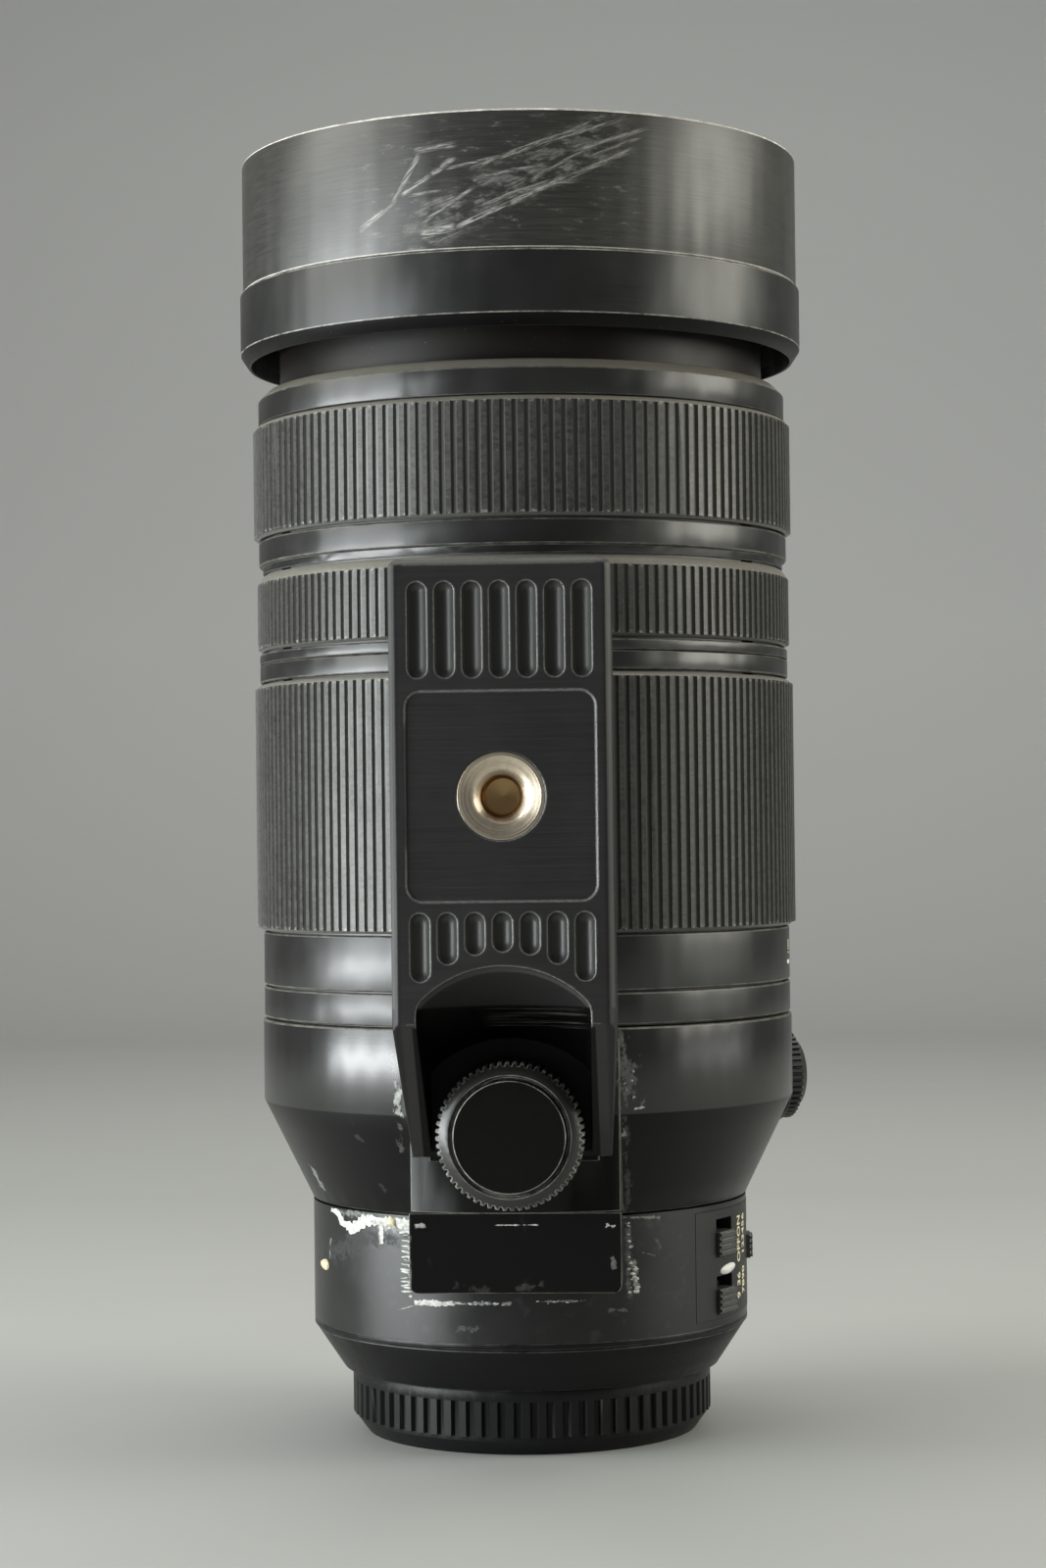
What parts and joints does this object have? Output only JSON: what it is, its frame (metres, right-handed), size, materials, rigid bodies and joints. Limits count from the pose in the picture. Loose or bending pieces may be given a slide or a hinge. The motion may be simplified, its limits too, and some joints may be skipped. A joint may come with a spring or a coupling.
{
  "type": "camera zoom lens",
  "caption": "Extending camera zoom lens with sliding hood, zoom, lock and focus rings, a turning tripod collar with a removable foot, slide switches and a rear cap.",
  "frame": {"origin": "centre of the rear cap's outer face, which the lens stands on, on the optical axis", "axes": "+Z along the optical axis towards the front element, -Y towards the tripod foot, +X towards the index line and the switches"},
  "size_m": [0.0866, 0.1052, 0.1941],
  "materials": {
    "matte_black_cap": "moulded matte black",
    "skirt_black": "satin black paint",
    "steel": "turned",
    "contact_plastic": "moulded",
    "gold_contact": "gold plated",
    "anodised": "satin black anodised, lightly worn",
    "brushed_hood": "satin black anodised over brushed metal, scratched",
    "foot_black": "semi-matte black with machining lines",
    "knob_metal": "satin black with worn teeth",
    "bush_metal": "turned",
    "switch_black": "moulded",
    "inner_aluminium": "black anodised",
    "barrel_black": "satin black anodised",
    "cell_black": "matte black",
    "lens_glass": "coated",
    "felt": "flocked",
    "board_green": "solder mask",
    "magnet_dark": "plain",
    "liner_plastic": "moulded"
  },
  "bodies": {
    "lens_body": {"rear_barrel": "anodised", "mount_skirt": "skirt_black", "bayonet_mount": "steel", "mount_screws": "steel", "contact_block": "contact_plastic", "contact_pins": "gold_contact", "main_frame": "inner_aluminium", "fixed_tube": "inner_aluminium", "guide_tube": "inner_aluminium", "rear_band_ring": "anodised", "index_ring": "anodised", "mid_band": "anodised", "focus_base_ring": "anodised", "front_bezel": "anodised", "dust_seal": "felt", "switch_plate": "switch_black", "circuit_board": "board_green", "rear_lens_cell": "cell_black", "rear_lens": "lens_glass", "guide_rods": "steel", "focus_motor": "magnet_dark", "iris_housing": "contact_plastic", "iris_blades": "cell_black", "focus_sensor": "board_green"},
    "rear_cap": {"rear_cap": "matte_black_cap"},
    "zoom_ring": {"zoom_ring": "anodised", "zoom_key": "steel", "cam_tube": "inner_aluminium"},
    "front_barrel": {"inner_barrel": "barrel_black", "cam_followers": "steel", "front_cell": "cell_black", "front_element": "lens_glass", "second_element": "lens_glass", "front_retainer": "cell_black", "hood_guide": "barrel_black", "hood_felt": "felt"},
    "hood": {"hood_rear_band": "anodised", "hood_front_band": "brushed_hood"},
    "zoom_lock_ring": {"zoom_lock_ring": "anodised"},
    "focus_ring": {"focus_ring": "anodised", "focus_magnet_ring": "magnet_dark"},
    "collar": {"collar": "anodised", "collar_liner": "liner_plastic"},
    "collar_lock_knob": {"collar_lock_knob": "knob_metal"},
    "foot": {"foot": "foot_black", "tripod_bush": "bush_metal"},
    "foot_knob": {"foot_knob": "knob_metal", "foot_screw": "steel"},
    "focus_switch": {"focus_switch": "switch_black"},
    "limit_switch": {"limit_switch": "switch_black"},
    "steady_switch": {"steady_switch": "switch_black"},
    "iris_ring": {"iris_ring": "cell_black"},
    "stabiliser_frame": {"stabiliser_frame": "cell_black"},
    "stabiliser_cell": {"stabiliser_cell": "cell_black", "stabiliser_lens": "lens_glass"},
    "focus_group": {"focus_cell": "cell_black", "focus_lens": "lens_glass"},
    "variator": {"variator_cell": "cell_black", "variator_pins": "steel", "variator_lens": "lens_glass"}
  },
  "joints": [
    {"name": "cap_pull", "type": "slide", "parent": "lens_body", "child": "rear_cap", "axis": [0, 0, -1], "range_m": [0, 0.03]},
    {"name": "zoom_turn", "type": "hinge", "parent": "lens_body", "child": "zoom_ring", "pos_m": [0, 0, 0.095], "axis": [0, 0, 1], "range_deg": [0, 90]},
    {"name": "barrel_extend", "type": "slide", "parent": "lens_body", "child": "front_barrel", "axis": [0, 0, 1], "range_m": [0, 0.06]},
    {"name": "variator_shift", "type": "slide", "parent": "lens_body", "child": "variator", "axis": [0, 0, 1], "range_m": [0, 0.022]},
    {"name": "hood_slide", "type": "slide", "parent": "front_barrel", "child": "hood", "axis": [0, 0, 1], "range_m": [-0.0094, 0]},
    {"name": "lock_turn", "type": "hinge", "parent": "lens_body", "child": "zoom_lock_ring", "pos_m": [0, 0, 0.125], "axis": [0, 0, 1], "range_deg": [0, 40]},
    {"name": "focus_turn", "type": "hinge", "parent": "lens_body", "child": "focus_ring", "pos_m": [0, 0, 0.145], "axis": [0, 0, 1], "continuous": true},
    {"name": "collar_turn", "type": "hinge", "parent": "lens_body", "child": "collar", "pos_m": [0, 0, 0.05], "axis": [0, 0, 1], "range_deg": [-90, 0]},
    {"name": "collar_knob_turn", "type": "hinge", "parent": "collar", "child": "collar_lock_knob", "pos_m": [0.03802, 0.01536, 0.0525], "axis": [0.9272, 0.3746, 0], "range_deg": [0, 180]},
    {"name": "foot_release", "type": "slide", "parent": "collar", "child": "foot", "axis": [0, -1, 0], "range_m": [0, 0.03]},
    {"name": "foot_knob_turn", "type": "hinge", "parent": "foot", "child": "foot_knob", "pos_m": [0, -0.049, 0.049], "axis": [0, -1, 0], "range_deg": [0, 720]},
    {"name": "focus_switch_slide", "type": "slide", "parent": "lens_body", "child": "focus_switch", "axis": [0, 0, 1], "range_m": [0, 0.0017]},
    {"name": "limit_switch_slide", "type": "slide", "parent": "lens_body", "child": "limit_switch", "axis": [0, 0, 1], "range_m": [0, 0.0017]},
    {"name": "steady_switch_slide", "type": "slide", "parent": "lens_body", "child": "steady_switch", "axis": [0, 0, 1], "range_m": [0, 0.0017]},
    {"name": "iris_turn", "type": "hinge", "parent": "lens_body", "child": "iris_ring", "pos_m": [0, 0, 0.0755], "axis": [0, 0, 1], "range_deg": [0, 35]},
    {"name": "stabiliser_x", "type": "slide", "parent": "lens_body", "child": "stabiliser_frame", "axis": [1, 0, 0], "range_m": [-0.0005, 0.0005]},
    {"name": "stabiliser_y", "type": "slide", "parent": "stabiliser_frame", "child": "stabiliser_cell", "axis": [0, 1, 0], "range_m": [-0.0005, 0.0005]},
    {"name": "focus_drive", "type": "slide", "parent": "lens_body", "child": "focus_group", "axis": [0, 0, 1], "range_m": [-0.006, 0.006]}
  ],
  "couplings": [
    {"joint": "barrel_extend", "follows": "zoom_turn", "m_per_rad": 0.038197},
    {"joint": "variator_shift", "follows": "zoom_turn", "m_per_rad": 0.014006}
  ]
}
